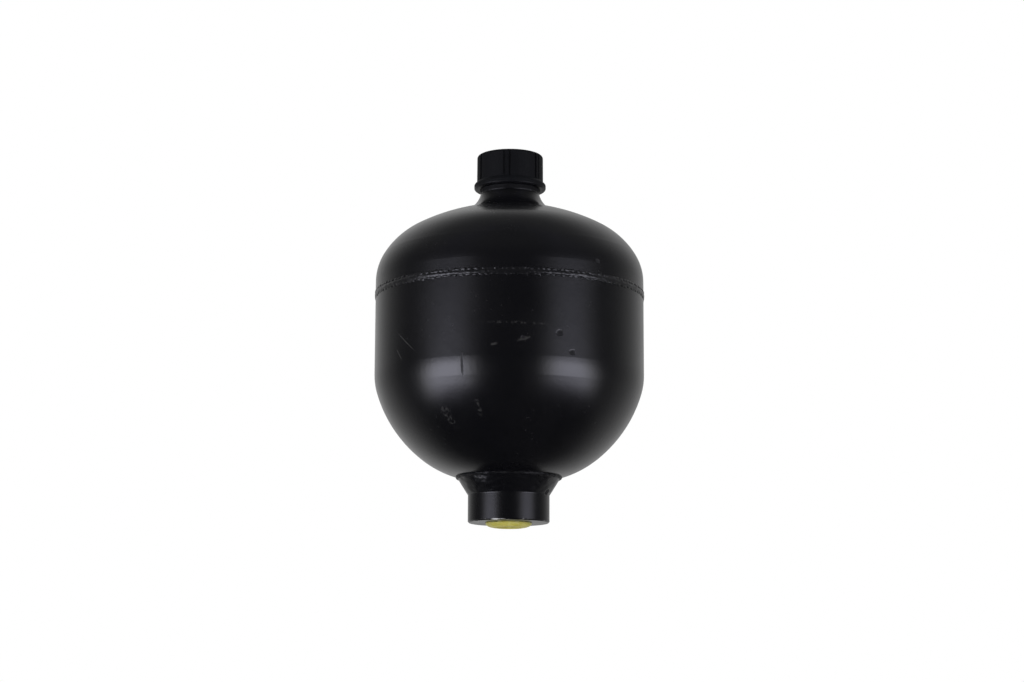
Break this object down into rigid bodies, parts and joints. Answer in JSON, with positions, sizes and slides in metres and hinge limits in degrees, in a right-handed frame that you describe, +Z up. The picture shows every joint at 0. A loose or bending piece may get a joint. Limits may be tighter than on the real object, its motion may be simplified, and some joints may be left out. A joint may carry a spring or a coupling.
{
  "type": "bladder accumulator",
  "caption": "Upright welded hydraulic accumulator: two pressed steel shells, a moulded rubber separator, a capped gas stem on top and a plugged threaded fluid port below.",
  "frame": {"origin": "on the vessel's axis, in the outer face of the shipping plug, which is the lowest point", "axes": "+Z up the vessel's axis from the fluid port to the gas stem; the body is round, and -Y is its front"},
  "size_m": [0.168, 0.168, 0.2346],
  "materials": {
    "shell_paint": "semi-gloss black paint over pressed steel, lightly scuffed",
    "ring_steel": "turned steel",
    "bladder_rubber": "moulded nitrile rubber, matt",
    "button_steel": "turned steel",
    "screw_steel": "zinc-plated steel",
    "seal_copper": "soft copper seal ring",
    "cap_plastic": "moulded black plastic, satin",
    "gasket_rubber": "rubber",
    "plug_plastic": "translucent yellow moulded plastic"
  },
  "bodies": {
    "vessel": {"lower_shell": "shell_paint", "upper_shell": "shell_paint", "girth_weld": "shell_paint", "port_boss": "shell_paint", "port_weld": "shell_paint", "gas_stem": "shell_paint", "stem_weld": "shell_paint", "retaining_ring": "ring_steel", "bladder": "bladder_rubber", "charging_screw": "screw_steel", "screw_seal": "seal_copper", "port_plug": "plug_plastic"},
    "button": {"shutoff_button": "button_steel"},
    "gasket": {"cap_gasket": "gasket_rubber"},
    "cap": {"protective_cap": "cap_plastic"}
  },
  "joints": [
    {"name": "button_slide", "type": "slide", "parent": "vessel", "child": "button", "axis": [0, 0, 1], "range_m": [0, 0.12], "deforming": ["bladder"]},
    {"name": "cap_lift", "type": "slide", "parent": "vessel", "child": "gasket", "axis": [0, 0, 1], "range_m": [0, 0.0105]},
    {"name": "cap_turn", "type": "hinge", "parent": "gasket", "child": "cap", "pos_m": [0, 0, 0.225], "axis": [0, 0, 1], "range_deg": [0, 2520]}
  ],
  "couplings": [
    {"joint": "cap_lift", "follows": "cap_turn", "m_per_rad": 0.00023873}
  ]
}
